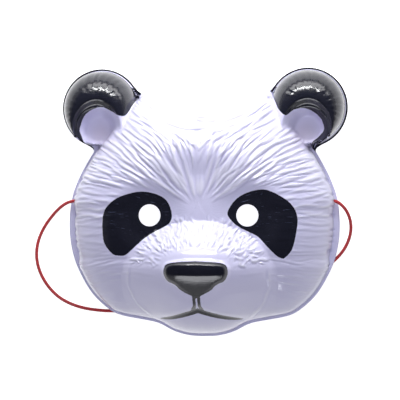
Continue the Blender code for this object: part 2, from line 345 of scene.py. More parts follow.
def makeTube(name, path, run, radius, closed, settings, look):
    # The round cord along a path, with its yarns wound by the length run so far.
    sides = settings["sides"]
    points = tube(path, radius, sides, closed).reshape(-1, 3)
    piece = newPiece(name, points.tolist(), tubeFaces(len(path), sides, closed), look)
    addBraidMap(piece, run / settings["braidPitch"], sides)
    orientOut(piece)
    return piece


def makeElastic(settings):
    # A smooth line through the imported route, cut into equal steps and made round.
    look = elasticLook(settings)
    fine = smoothLine(settings["route"], 14)
    along = lengthsAlong(fine)
    even = np.linspace(0.0, along[-1], settings["rings"])
    path = np.stack([np.interp(even, along, fine[:, axis]) for axis in range(3)], axis=1)
    piece = makeTube("elasticCord", path, even, settings["diameter"] / 2, False, settings, look)
    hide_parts("elastic_cord")
    knots = [makeKnot(side, settings, look) for side in ("left", "right")]
    print("elastic laid,", round(float(along[-1]), 4), "m long")


def makeKnot(side, settings, look):
    # A tight overhand knot: the trefoil (sin t + 2 sin 2t, cos t - 2 cos 2t, -sin 3t) as a tube.
    node = "cord_knot_" + side
    low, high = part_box(node)
    middle = (np.array(low) + np.array(high)) / 2
    turn = np.linspace(0.0, 2 * math.pi, settings["knotRings"], endpoint=False)
    deep = -settings["knotDepth"] * np.sin(3 * turn)
    across = np.sin(turn) + 2 * np.sin(2 * turn)
    up = np.cos(turn) - 2 * np.cos(2 * turn)
    path = middle + settings["knotSize"] * np.stack([deep, across, up], 1)
    radius = settings["diameter"] / 2 * settings["knotSqueeze"]
    run = lengthsAlong(path)
    piece = makeTube("elasticKnot" + side.capitalize(), path, run, radius, True, settings, look)
    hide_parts(node)
    return piece


makeElastic(elastic)

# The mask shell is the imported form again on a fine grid, with its fur, folds and paint.
maskShell = {
    "sheet": 0.0010,
    "rings": 138,  # squares of the grid from the middle to the edge
    "rimRings": 4,
    "wallRings": 0.0110,  # stretch beside the fold where the rings crowd together
    "faceShare": 0.78,
    "cornerPull": 0.07,
    "flange": 0.0022,
    "templeFlange": 0.0046,
    "templeTop": 0.0010,
    "templeBottom": -0.0480,
    "templeEase": 0.0080,
    "rimLift": 0.0045,
    "liftDegrees": (22, 36, 98, 120),
    "headHalfWidth": 0.1010,
    "crownReach": 0.0860,
    "chinReach": 0.1005,
    "domeHeight": 0.0500,
    "domeRun": 0.0600,
    "cornerBlend": 0.12,  # how softly the dome turns round the corners of the head
}

headEdge = [  # right half, crown to chin: shares of the half width and of the reach up or down
    (0.000, 1.000), (0.250, 0.988), (0.475, 0.935), (0.620, 0.780), (0.720, 0.620),
    (0.800, 0.485), (0.865, 0.360), (0.930, 0.210), (0.978, 0.060), (1.000, -0.100),
    (0.998, -0.260), (0.970, -0.410), (0.915, -0.545), (0.825, -0.690), (0.705, -0.800),
    (0.620, -0.842), (0.465, -0.875), (0.335, -0.905), (0.225, -0.962), (0.110, -0.994),
    (0.000, -1.000),
]

ear = {
    "radius": 0.0300,
    "across": 0.0775,
    "up": 0.0705,
    "height": 0.0265,
    "crest": 0.78,  # share of the roll's width at which its crest lies
    "lip": 0.0225,
    "dishRadius": 0.0165,
    "dishDrop": 0.0165,
    "dishFloor": 0.0120,
    "dishSlope": 0.0080,
    "blend": 0.0026,  # width of the soft valley between ear and head
}

muzzle = {
    "centre": -0.0580,
    "halfWidth": 0.0570,
    "topReach": 0.0450,
    "chinReach": 0.0640,
    "rise": 0.0255,
    "lipStep": 0.0035,
    "lipEase": 0.0048,
    "lipAbove": 0.0026,  # the step lies over the painted line
    "mouthUp": -0.0775,
    "mouthDroop": 0.0082,
    "mouthHalfWidth": 0.0310,
    "grooveDepth": 0.0009,
    "philtrumTop": -0.0665,
    "philtrumHalfGap": 0.0017,
}

nose = {
    "top": -0.0415,
    "halfWidth": 0.0225,
    "length": 0.0260,
    "rise": 0.0042,
    "edge": 0.0045,
    "ridge": -0.0512,  # where the top face turns down into the front face
    "frontDrop": 0.0046,
    # right half of the edge: shares of the half width and of the length
    "side": [
        (0.00, 0.00), (0.60, 0.03), (0.92, 0.10), (1.00, 0.30),
        (0.90, 0.52), (0.64, 0.64), (0.44, 0.80), (0.00, 1.00),
    ],
}

eye = {
    "across": 0.0352,
    "up": -0.0095,
    "hole": 0.0158,
    "socket": 0.0140,
    "depth": 0.0022,
    "cutLength": 0.12,
}

cordHole = {
    "up": 0.0008,
    "above": 0.0030,  # height over the flange
    "radius": 0.0015,
    "length": 0.0104,
}

swells = [  # name, across, up, half width, half height, rise: shares of head, chin reach and dome
    ("brow", 0.00, 0.40, 0.60, 0.16, 0.070),
    ("brow side", 0.42, 0.20, 0.22, 0.16, 0.035),
    ("cheek", 0.62, -0.45, 0.25, 0.28, 0.060),
    ("bridge", 0.00, -0.08, 0.16, 0.20, 0.030),
    ("chin", 0.00, -0.92, 0.22, 0.08, 0.060),
]


def quarterRound(share):
    # A quarter ellipse: upright at 0 and level at 1.
    share = np.clip(share, 0.0, 1.0)
    return np.sqrt(1.0 - (1.0 - share) ** 2)


def blendUp(first, second, width):
    # The higher of two surfaces, with the valley between them filled over a width.
    width = np.clip(np.minimum(first, second), 1e-6, width)
    near = np.clip(width - np.abs(first - second), 0.0, None) / width
    return np.maximum(first, second) + near * near * width / 4.0


def mirrored(half):
    # A closed outline from its right half, which starts and ends on the middle.
    left = half[-2:0:-1] * np.array([-1.0, 1.0])
    return np.vstack([half, left])


def headOutline(shell):
    # The head's edge, from shares of its half width and of its reach up or down.
    rows = []
    for across, up in headEdge:
        reach = shell["crownReach"] if up > 0 else shell["chinReach"]
        rows.append((across * shell["headHalfWidth"], up * reach))
    return mirrored(smoothLine(rows, 7))


def noseOutline(pad):
    # The nose pad's edge, from shares of its half width and length.
    rows = [(across * pad["halfWidth"], pad["top"] - down * pad["length"]) for across, down in pad["side"]]
    return mirrored(smoothLine(rows, 6))


def depthInside(outline, x, y, soft=0.0):
    # Distance to a closed outline, positive inside. A soft value rounds the creases where two
    # sides are equally near: the least distance becomes a mean weighted by exp(-distance).
    flatX, flatY = x.ravel(), y.ravel()
    found = np.empty_like(flatX)
    start = outline
    run = np.roll(outline, -1, axis=0) - outline
    length = np.hypot(run[:, 0], run[:, 1])
    rise = np.where(run[:, 1] == 0, 1.0, run[:, 1])
    endUp = start[:, 1] + run[:, 1]
    for first in range(0, len(flatX), 6000):
        part = slice(first, first + 6000)
        fromX = flatX[part, None] - start[:, 0]
        fromY = flatY[part, None] - start[:, 1]
        share = np.clip((fromX * run[:, 0] + fromY * run[:, 1]) / length**2, 0.0, 1.0)
        apart = np.hypot(fromX - share * run[:, 0], fromY - share * run[:, 1])
        away = apart.min(axis=1)
        spans = (start[:, 1] > flatY[part, None]) != (endUp > flatY[part, None])
        inside = (spans & (fromX < run[:, 0] * fromY / rise)).sum(axis=1) % 2 == 1
        if soft:
            width = np.clip(soft * away, 1e-6, None)
            middle = np.hypot(fromX - run[:, 0] / 2, fromY - run[:, 1] / 2)
            weight = (np.exp(-(middle - away[:, None]) / width[:, None]) * length).sum(axis=1)
            straight = away * math.sqrt(2 * math.pi * soft) + 1e-9
            less = width * np.log(np.clip(weight / straight, 1.0, None))
            away = away - less * ease((away - 0.006) / 0.012)
        found[part] = np.where(inside, away, -away)
    return found.reshape(x.shape)


def flangeWidth(y, shell):
    # A narrow flange that widens softly beside the temples.
    wide = ease((shell["templeTop"] - y) / shell["templeEase"])
    wide = wide * ease((y - shell["templeBottom"]) / shell["templeEase"])
    return shell["flange"] + (shell["templeFlange"] - shell["flange"]) * wide


def rimLift(x, y, shell):
    # The rim bows up off the surface beside the cheeks, by direction from the chin.
    start, full, still, end = shell["liftDegrees"]
    degrees = np.degrees(np.arctan2(np.abs(x), -y))
    return shell["rimLift"] * ease((degrees - start) / (full - start)) * ease((end - degrees) / (end - still))


def headRadius(angle, head):
    # Distance of the head's edge from the middle in each direction.
    headAngle = np.arctan2(head[:, 1], head[:, 0])
    return np.interp(angle, headAngle, np.hypot(head[:, 0], head[:, 1]), period=2 * math.pi)


def trimmedEdge(angle, head):
    # The trimmed edge in each direction, ears included, and the way in from it.
    around = np.stack([np.cos(angle), np.sin(angle)], axis=-1)
    edge = headRadius(angle, head)[..., None] * around
    inward = -around
    right = head[head[:, 0] > 0]
    within = ear["radius"] > np.hypot(right[:, 0] - ear["across"], right[:, 1] - ear["up"])
    change = np.flatnonzero(within[1:] != within[:-1])
    upper, lower = right[change[0]], right[change[-1] + 1]
    first, last = math.atan2(lower[1], lower[0]), math.atan2(upper[1], upper[0])
    turnFirst = math.atan2(lower[1] - ear["up"], lower[0] - ear["across"])
    turnLast = math.atan2(upper[1] - ear["up"], upper[0] - ear["across"])
    for side in (1, -1):
        share = (np.arctan2(around[..., 1], side * around[..., 0]) - first) / (last - first)
        turn = turnFirst + share * (turnLast - turnFirst)
        outward = np.stack([side * np.cos(turn), np.sin(turn)], axis=-1)
        onEar = ((share > 0) & (share < 1))[..., None]
        centre = np.array([side * ear["across"], ear["up"]])
        edge = np.where(onEar, centre + ear["radius"] * outward, edge)
        inward = np.where(onEar, -outward, inward)
    return edge, inward


def softTrimmedEdge(angle, head):
    # The same edge with its corners at the ears rounded.
    spread = np.radians([-1.8, -0.9, 0.0, 0.9, 1.8])
    found = [trimmedEdge(angle + turn, head) for turn in spread]
    edge = sum(edge for edge, _ in found) / len(found)
    inward = sum(inward for _, inward in found)
    return edge, inward / np.linalg.norm(inward, axis=-1)[..., None]


def earDistances(x, y):
    # How far inside the ear's edge and how far outside its dish each place lies.
    out, up = np.abs(x) - ear["across"], y - ear["up"]
    return ear["radius"] - np.hypot(out, up), np.hypot(out, up + ear["dishDrop"]) - ear["dishRadius"]


def earLevel(x, y, shell):
    # The rolled edge of an ear, a quarter round that eases over its crest, and the dish in it.
    inside, toDish = earDistances(x, y)
    outer = np.clip(inside - shell["flange"], 0.0, None)
    share = outer / (outer + np.clip(toDish, 1e-6, None))
    rolled = ear["height"] * quarterRound(share / ear["crest"])
    rolled = rolled - (ear["height"] - ear["lip"]) * ease((share - ear["crest"]) / (1.0 - ear["crest"]))
    dished = ear["lip"] + (ear["dishFloor"] - ear["lip"]) * ease(-toDish / ear["dishSlope"])
    return np.where(outer > 0, np.where(toDish > 0, rolled, dished), 0.0)


def mouthLine(x):
    # Falls from the middle and flattens out towards the corners.
    out = np.clip(np.abs(x) / muzzle["mouthHalfWidth"], 0.0, 1.0)
    return muzzle["mouthUp"] - muzzle["mouthDroop"] * (1.0 - (1.0 - out) ** 1.4)


def faceForm(x, y, shell):
    # What stands on the dome: soft swells, muzzle, lips and nose pad, less the eye sockets.
    form = np.zeros_like(x)
    for _, across, up, halfWidth, halfHeight, rise in swells:
        offX = (np.abs(x) - across * shell["headHalfWidth"]) / (halfWidth * shell["headHalfWidth"])
        offY = (y - up * shell["chinReach"]) / (halfHeight * shell["chinReach"])
        form += rise * shell["domeHeight"] * np.exp(-(offX**2 + offY**2))
    reach = np.where(y > muzzle["centre"], muzzle["topReach"], muzzle["chinReach"])
    off = np.hypot(x / muzzle["halfWidth"], (y - muzzle["centre"]) / reach)
    form += muzzle["rise"] * np.clip(1.0 - off**2.4, 0.0, None) ** 1.3
    below = ease((mouthLine(x) + muzzle["lipAbove"] - y) / muzzle["lipEase"] + 0.5)
    form -= muzzle["lipStep"] * below * ease(2.0 - np.abs(x) / muzzle["mouthHalfWidth"])
    pad = ease(depthInside(noseOutline(nose), x, y) / nose["edge"] + 0.5)
    down = np.clip((nose["ridge"] - y) / (nose["length"] * 0.62), 0.0, 1.3)
    form += pad * (nose["rise"] - nose["frontDrop"] * down)
    fromEye = np.hypot(np.abs(x) - eye["across"], y - eye["up"])
    return form - eye["depth"] * ease(2.0 - fromEye / eye["socket"])


def sheetLevel(x, y, head, shell):
    # Height of the smooth sheet's outer face inside the fold.
    depth = depthInside(head, x, y, shell["cornerBlend"]) - flangeWidth(y, shell)
    rounded = quarterRound(depth / shell["domeRun"])
    dome = (shell["domeHeight"] + faceForm(x, y, shell)) * rounded
    level = blendUp(np.clip(dome, 0.0, None), earLevel(x, y, shell), ear["blend"])
    lift = rimLift(x, y, shell)
    return shell["sheet"] + lift + level * (1.0 - lift / shell["domeHeight"])


def ringAngle(across, up, pull):
    # Direction of a point of the square grid, so that its square rings become round ones.
    flat = np.abs(across) >= np.abs(up)
    large = np.where(flat, across, up)
    small = np.where(flat, up, across) / np.where(large == 0, 1.0, large)
    angle = np.where(flat, small, 2.0 - small) * math.pi / 4.0
    angle = angle + pull * np.sin(4.0 * angle)
    return angle + np.where(np.where(flat, across < 0, up < 0), math.pi, 0.0)


def smoothSheet(shell):
    # Places of the square grid on the smooth sheet: rings run evenly out from the middle along a
    # ray and on to the fold, and crowd together on the steep wall beside it.
    rings = shell["rings"]
    side = np.linspace(-1.0, 1.0, 2 * rings + 1)
    across, up = np.meshgrid(side, side)
    head = headOutline(shell)
    angle = ringAngle(across, up, shell["cornerPull"])
    ring = np.rint(np.maximum(np.abs(across), np.abs(up)) * rings)
    edge, inward = softTrimmedEdge(angle, head)
    flange = flangeWidth(edge[..., 1], shell)[..., None]
    fold = edge + flange * inward
    around = np.stack([np.cos(angle), np.sin(angle)], axis=-1)
    faceReach = shell["faceShare"] * headRadius(angle, head)
    rest = fold - faceReach[..., None] * around
    restReach = np.linalg.norm(rest, axis=-1)
    whole = faceReach + restReach
    crowd = shell["wallRings"]
    back = (1.0 - ring / (rings - shell["rimRings"])) * (whole + crowd)
    back = np.where(back < 2 * crowd, back**2 / (4 * crowd), back - crowd)
    along = (whole - back)[..., None]
    onRay = along * around
    onRest = faceReach[..., None] * around + (along - faceReach[..., None]) * rest / restReach[..., None]
    place = np.where(along < faceReach[..., None], onRay, onRest)
    beyond = ring - (rings - shell["rimRings"])
    rim = edge + flange * (1.0 - beyond / shell["rimRings"])[..., None] * inward
    place = np.where(beyond[..., None] > 0, rim, place)
    x, y = place[..., 0], place[..., 1]
    flat = shell["sheet"] + rimLift(x, y, shell)
    z = np.where(beyond > 0, flat, sheetLevel(x, y, head, shell))
    return np.stack([x, y, z], axis=-1), beyond, head


def gridNormals(points):
    # Cross product of the grid's two directions, all pointing out of the face.
    downRows = np.gradient(points, axis=0)
    alongRow = np.gradient(points, axis=1)
    normal = np.cross(alongRow, downRows)
    normal /= np.clip(np.linalg.norm(normal, axis=-1), 1e-12, None)[..., None]
    return np.where(normal[..., 2:] < 0, -normal, normal)


fur = {
    "seed": 41,
    "fanUp": -0.006,  # where the long rays of the forehead come together on the middle line
    "crownUp": 0.034,  # where the rays begin to bend into the bowl-shaped lines of the crown
    "crownEase": 0.022,
    "bowlRadius": 0.062,
    "tuftUp": -0.0500,  # middle of the half ring of tufts over the muzzle
    "shadowSide": 0.62,  # depth of the cut on the lower side of a stroke, as a share of its rise
    "limit": 0.0011,
}


creases = [  # strong single lines of the right half: start and end in metres, rise in millimetres
    (0.014, 0.012, 0.027, 0.034, 0.95),  # the two bright V lines of the forehead
    (0.012, 0.010, 0.044, 0.043, 0.90),
    (0.020, 0.008, 0.052, 0.030, 0.70),
    (0.0500, -0.045, 0.0510, -0.062, 0.40),  # edge of the muzzle
    (0.0505, -0.060, 0.0455, -0.074, 0.45),
    (0.0465, -0.072, 0.0350, -0.085, 0.45),
    (0.000, -0.0255, 0.014, -0.0275, 0.45),  # arc over the nose
    (0.012, -0.0270, 0.025, -0.0345, 0.45),
    (0.030, -0.052, 0.046, -0.050, 0.22),
]


def crownShare(y):
    # 0 where the rays run and 1 where the bowl-shaped lines do.
    return ease((y - fur["crownUp"]) / fur["crownEase"])


def flowDegrees(x, y):
    # Lie of the fur on the right half, in degrees up from level going outwards: rays from between
    # the eyes, bending into bowl-shaped arcs over the crown and level lines on the cheeks.
    radial = np.degrees(np.arctan2(y - fur["fanUp"], x))
    arc = np.degrees(np.arctan2(x, fur["bowlRadius"]))
    crown = crownShare(y)
    temple = ease((x - 0.045) / 0.025)
    lie = radial * (1 - crown) + arc * crown
    lie = lie * (1 - 0.30 * temple)
    return np.where(y < fur["fanUp"], radial * 0.25, lie)


def hairCoordinates(x, y):
    # Lengths in millimetres across and along the lie of the fur, for the fine hair of the surface:
    # turn about the rays' centre on the forehead, bowls over the crown, level lines on the cheeks.
    out, up = np.abs(x), y - fur["fanUp"]
    turn = 45.0 * np.arctan2(up, out)
    bowl = 1000.0 * (y - out**2 / (2 * fur["bowlRadius"]))
    level = 1000.0 * (up - 0.10 * out)
    crown = crownShare(y)
    low = ease(-up / 0.012)
    across = (turn * (1 - crown) + bowl * crown) * (1 - low) + level * low
    along = 1000.0 * np.hypot(out, up)
    return across + np.where(x < 0, 37.0, 0.0), along


def scatter(maker, count, low, high):
    # Places spread evenly but not in rows: each takes the widest gap among a few tries.
    kept = np.empty((0, 2))
    for _ in range(count):
        tries = maker.uniform(low, high, (9, 2))
        if len(kept):
            gap = np.linalg.norm(tries[:, None] - kept[None], axis=-1).min(axis=1)
            tries = tries[[gap.argmax()]]
        kept = np.vstack([kept, tries[:1]])
    return kept


def atTurn(up, reach, degrees):
    # A place at a distance and direction from a point on the middle line.
    turn = math.radians(degrees)
    return reach * math.cos(turn), up + reach * math.sin(turn)


def furStrokes(settings):
    # Every stroke as a row: middle x and y, lie in radians, half length, half width, rise, bend.
    maker = np.random.default_rng(settings["seed"])
    rows = []

    def milli(low, high):
        return maker.uniform(low, high) * 1e-3

    def add(side, x, y, degrees, half, width, rise, bend=0.0):
        turn = math.radians(degrees if side > 0 else 180 - degrees)
        rows.append((side * x, y, turn, half, width, rise, bend))

    for side in (1, -1):
        for x, y in scatter(maker, 210, (0.004, 0.014), (0.094, 0.079)):  # forehead and crown
            if y > 0.072 - 0.35 * x and x > 0.05:
                continue
            if x < 0.013 and 0.012 < y < 0.036:
                continue
            lie = float(flowDegrees(x, y)) + maker.normal(0, 4.0)
            rise = milli(0.40, 0.95) * (1.1 - 0.35 * float(ease((y - 0.055) / 0.02)))
            half = maker.uniform(0.006, 0.014)
            add(side, x, y, lie, half, milli(0.75, 1.35), rise, side * maker.normal(3.0, 5.0))
        for x, y in scatter(maker, 60, (0.060, -0.012), (0.099, 0.034)):  # temples
            lie = float(flowDegrees(x, y)) + maker.normal(0, 5.0)
            half = maker.uniform(0.005, 0.011)
            add(side, x, y, lie, half, milli(0.75, 1.2), milli(0.35, 0.75), maker.normal(0, 14.0))
        for x, y in scatter(maker, 60, (0.058, -0.074), (0.099, -0.010)):  # cheeks
            lie = float(flowDegrees(x, y)) + maker.normal(0, 4.0)
            half = maker.uniform(0.008, 0.016)
            add(side, x, y, lie, half, milli(0.8, 1.3), milli(0.14, 0.34), maker.normal(0, 6.0))
        for turn in np.linspace(32, 84, 11):  # long rays of the forehead
            turn = turn + maker.normal(0, 1.8)
            reach = maker.uniform(0.034, 0.058)
            begin = maker.uniform(0.007, 0.014)
            x, y = atTurn(settings["fanUp"], (begin + reach) / 2, turn)
            if turn > 76 and y + (reach - begin) / 2 > 0.02:
                reach = 0.026
                x, y = atTurn(settings["fanUp"], (begin + reach) / 2, turn)
            add(side, x, y, turn, (reach - begin) / 2, milli(1.1, 1.9), milli(0.45, 0.75))
        for startX, startY, endX, endY, rise in creases:
            half = math.hypot(endX - startX, endY - startY) / 2 * 1.15
            turn = math.degrees(math.atan2(endY - startY, endX - startX))
            add(side, (startX + endX) / 2, (startY + endY) / 2, turn, half, 1.35e-3, rise * 1e-3)
    for _ in range(34):  # bowl-shaped lines over the crown
        x, y = maker.uniform(-0.020, 0.020), maker.uniform(0.052, 0.080)
        turn = math.degrees(math.atan2(x, settings["bowlRadius"]))
        add(1, x, y, turn, maker.uniform(0.010, 0.022), milli(0.9, 1.5), milli(0.22, 0.42), 9.0)
    for _ in range(46):  # starburst of short marks in the middle of the forehead
        x, y = maker.normal(0, 0.010), 0.042 + maker.normal(0, 0.0042)
        turn = math.degrees(math.atan2(y - 0.026, x)) + maker.normal(0, 16)
        add(1, x, y, turn, maker.uniform(0.0018, 0.0046), milli(0.6, 0.95), milli(0.30, 0.60))
    for _ in range(420):  # short tufts over the top of the muzzle
        turn = maker.uniform(8, 172)
        reach = maker.uniform(0.019, 0.036) * (1.0 + 0.35 * abs(math.cos(math.radians(turn))))
        x, y = atTurn(settings["tuftUp"], reach, turn)
        turn = turn + maker.normal(0, 24)
        add(1, x, y, turn, maker.uniform(0.0016, 0.0040), milli(0.6, 1.0), milli(0.30, 0.70))
    for side in (1, -1):  # faint lines on the sides of the muzzle
        for _ in range(12):
            x, y = maker.uniform(0.020, 0.046), maker.uniform(-0.080, -0.054)
            turn = side * maker.uniform(-14, 26)
            add(1, side * x, y, turn, maker.uniform(0.006, 0.012), 0.9e-3, milli(0.05, 0.13))
    return np.array(rows)


def strokeRelief(x, y, strokes):
    # Sum of tapered ridges: exp(-across^2) less a narrower cut on the lower side, times a taper
    # that falls to nothing at both ends.
    total = np.zeros_like(x)
    for middleX, middleY, lie, half, width, rise, bend in strokes:
        reach = half + 3 * width
        near = (np.abs(x - middleX) < reach) & (np.abs(y - middleY) < reach)
        offX, offY = x[near] - middleX, y[near] - middleY
        along = offX * math.cos(lie) + offY * math.sin(lie)
        over = -offX * math.sin(lie) + offY * math.cos(lie)
        if math.cos(lie) < 0:
            over = -over
        over = over - bend * along**2
        taper = np.clip(1.0 - (along / half) ** 2, 0.0, None) ** 0.8
        thin = width * (0.45 + 0.55 * taper)
        ridge = np.exp(-((over / thin) ** 2))
        cut = np.exp(-(((over + 1.35 * thin) / (0.75 * thin)) ** 2))
        total[near] += rise * taper * (ridge - fur["shadowSide"] * cut)
    return total


fineFolds = {  # heights of the smallest relief
    "earWave": 0.00016,
    "earSquiggle": 0.00011,
    "chinFlute": 0.00010,
    "foldNick": 0.0007,
}


def earGrooves(x, y):
    # Short folds across the outer side of each ear's roll, uneven round the ear.
    inEdge, toDish = earDistances(x, y)
    turn = np.arctan2(y - ear["up"], np.abs(x) - ear["across"])
    wave = np.sin(23 * turn + 2.2 * np.sin(3 * turn + 0.7) + 160 * inEdge)
    wave = wave + 0.6 * np.sin(41 * turn + 1.7 + 300 * inEdge * np.sin(5 * turn))
    band = ease((inEdge - 0.003) / 0.004) * ease((0.0185 - inEdge) / 0.006)
    outer = ease((turn + 1.1) / 0.5) * ease((2.9 - turn) / 0.6)
    squiggle = np.sin(58 * turn + 4 * np.sin(9 * turn) + 900 * inEdge)
    crest = ease((inEdge - 0.010) / 0.004) * ease((0.024 - inEdge) / 0.006)
    folds = fineFolds["earWave"] * wave * band + fineFolds["earSquiggle"] * squiggle * crest
    return ease(toDish / 0.004) * outer * folds


def chinFlutes(x, y, shell):
    # Tiny upright flutes where the sheet was drawn down at the chin: a wavering sine across.
    depth = y + shell["chinReach"]
    band = ease((depth - 0.002) / 0.002) * ease((0.011 - depth) / 0.005) * ease((0.034 - np.abs(x)) / 0.012)
    return fineFolds["chinFlute"] * np.sin(x / 0.00026 * 0.9 + 2 * np.sin(x / 0.004)) * band


def foldNotches(x, y):
    # Small uneven nicks along the fold beside the temples: the square of a wavering sine.
    side = np.abs(x)
    band = ease((side - 0.080) / 0.010) * ease((y + 0.062) / 0.02) * ease((0.034 - y) / 0.02)
    nick = np.clip(np.sin(y / 0.00105 + 2.4 * np.sin(y / 0.0042)), 0.0, 1.0) ** 2
    return -fineFolds["foldNick"] * nick * band


def grooves(x, y):
    # The painted lines lie in shallow grooves: mouth and the two lines under the nose.
    mouth = y - mouthLine(x)
    ends = ease((1.06 - np.abs(x) / muzzle["mouthHalfWidth"]) / 0.25)
    cut = np.exp(-((mouth / 0.0014) ** 2)) * ends
    between = ease((muzzle["philtrumTop"] - y) / 0.002) * ease((y - muzzle["mouthUp"]) / 0.002)
    lines = np.exp(-(((np.abs(x) - muzzle["philtrumHalfGap"]) / 0.0008) ** 2)) * between
    return -muzzle["grooveDepth"] * (cut + 0.7 * lines)


photoOutlines = {  # the paint's edges read off the photograph, in its pixels
    "leftPatch": [
        (101, 218), (104, 207.5), (114, 198), (128, 192.6), (141, 190.8), (155, 193.6), (165, 200),
        (170, 212.7), (167, 223), (151, 232), (141, 239), (131, 248), (124, 254), (118, 255),
        (110.6, 253), (103, 243), (101, 233),
    ],
    "rightPatch": [
        (226, 212.5), (238, 197), (261, 190), (281, 198), (292, 208), (296, 220), (294, 237), (290, 251),
        (283, 258.7), (280, 259), (275, 256.5), (267, 249), (257, 238), (248, 233), (238, 228), (230.6, 222),
    ],
    "leftEar": [
        (143, 90), (137, 100), (133, 105), (126, 115), (118.7, 115.5), (111, 111), (101.5, 107),
        (90.6, 110.4), (83.6, 117.4), (79.8, 129), (81.7, 136.5), (88.7, 143.5), (94, 148.6),
        (91.3, 154.4), (86, 158), (50, 150), (40, 100), (60, 50), (120, 45), (150, 78),
    ],
    "rightEar": [
        (271, 92), (276, 104), (279, 110), (285.5, 115.2), (293.8, 109.7), (304.6, 108.2), (314.2, 112.3),
        (321.2, 119.3), (324.1, 128.9), (320, 135.3), (312.3, 142.3), (311.7, 147.4), (320, 155.7),
        (327, 158), (365, 150), (372, 100), (350, 48), (290, 45), (262, 78),
    ],
}
photoHoles = {"leftPatch": (146.5, 214.0), "rightPatch": (244.7, 216.5)}  # middles of the eye holes

paintLines = {
    "holeShare": 0.6,  # share of the way that a patch moves along with its eye hole
    "aroundNose": 0.0002,
    "mouthHalf": 0.0019,
    "philtrumAbove": 0.0012,
    "philtrumHalf": 0.0011,
    "philtrumFork": 0.0011,  # how far the two lines spread where they reach the mouth
}


def onSheet(pixels, head, shell):
    # Where the camera's line through each pixel meets the smooth sheet: z is refined in turns.
    pixels = np.array(pixels, float)
    yaw = math.radians(photoView["yaw"])
    sine, cosine = math.sin(yaw), math.cos(yaw)
    half = photoView["sensor"] / 2 / photoView["lens"]
    middle = photoView["pixels"] / 2
    right = (pixels[:, 0] - middle) / middle * half
    up = (middle - pixels[:, 1]) / middle * half
    start = np.array(photoView["aim"]) + photoView["distance"] * np.array([sine, 0.0, cosine])
    way = np.stack([right * cosine - sine, up, -right * sine - cosine], axis=1)
    z = np.full(len(pixels), 0.03)
    for _ in range(14):
        share = (z - start[2]) / way[:, 2]
        x, y = start[0] + share * way[:, 0], start[1] + share * way[:, 1]
        z = 0.5 * z + 0.5 * sheetLevel(x, y, head, shell)
    return np.stack([x, y], axis=1)


def closedLine(points, steps):
    # A smooth closed outline through the points.
    points = np.array(points, float)
    looped = np.vstack([points[-2:], points, points[:3]])
    fine = smoothLine(looped, steps)
    return fine[2 * steps : (len(points) + 2) * steps]


def paintDistance(x, y, head, shell):
    # Signed distance in millimetres to the nearest painted edge, positive on paint.
    best = np.full(x.shape, -0.03)
    for name, pixels in photoOutlines.items():
        outline = onSheet(pixels, head, shell)
        if name in photoHoles:
            side = -1 if name == "leftPatch" else 1
            hole = onSheet([photoHoles[name]], head, shell)[0]
            moved = np.array([side * eye["across"], eye["up"]]) - hole
            outline = outline + paintLines["holeShare"] * moved
        outline = closedLine(outline, 5)
        best = np.maximum(best, depthInside(outline, x, y))
    pad = depthInside(noseOutline(nose), x, y) + paintLines["aroundNose"]
    out = np.clip(np.abs(x) / muzzle["mouthHalfWidth"], 0.0, 2.0)
    thick = paintLines["mouthHalf"] * np.clip(1.0 - out**2.2, 0.0, None) ** 0.6
    mouth = np.where(out < 1.0, thick - np.abs(y - mouthLine(x)), -0.001 - 0.03 * (out - 1.0))
    lineTop = muzzle["philtrumTop"] + paintLines["philtrumAbove"]
    fork = paintLines["philtrumFork"] * ease((muzzle["mouthUp"] + 0.0042 - y) / 0.003)
    strip = np.abs(np.abs(x) - muzzle["philtrumHalfGap"] - fork)
    half = paintLines["philtrumHalf"] + 0.4 * fork
    line = np.minimum(half - strip, np.minimum(lineTop - y, y - muzzle["mouthUp"]))
    return 1000.0 * np.maximum(np.maximum(best, pad), np.maximum(mouth, line))


sheetColours = {
    "shade": (0.655, 0.645, 0.86, 1.0),
    "light": (0.70, 0.69, 0.89, 1.0),
    # darker colour painted as shade in the relief's grooves
    "valley": (0.50, 0.49, 0.68, 1.0),
    # lighter colour painted as highlight on the relief's ridges
    "ridge": (0.82, 0.82, 0.92, 1.0),
    "dish": (0.50, 0.38, 0.42, 1.0),
    "black": (0.0045, 0.005, 0.010, 1.0),
    "brushed": (0.013, 0.014, 0.024, 1.0),
    # lighter blue painted as glints on the black paint
    "paintedGlint": (0.11, 0.13, 0.21, 1.0),
}


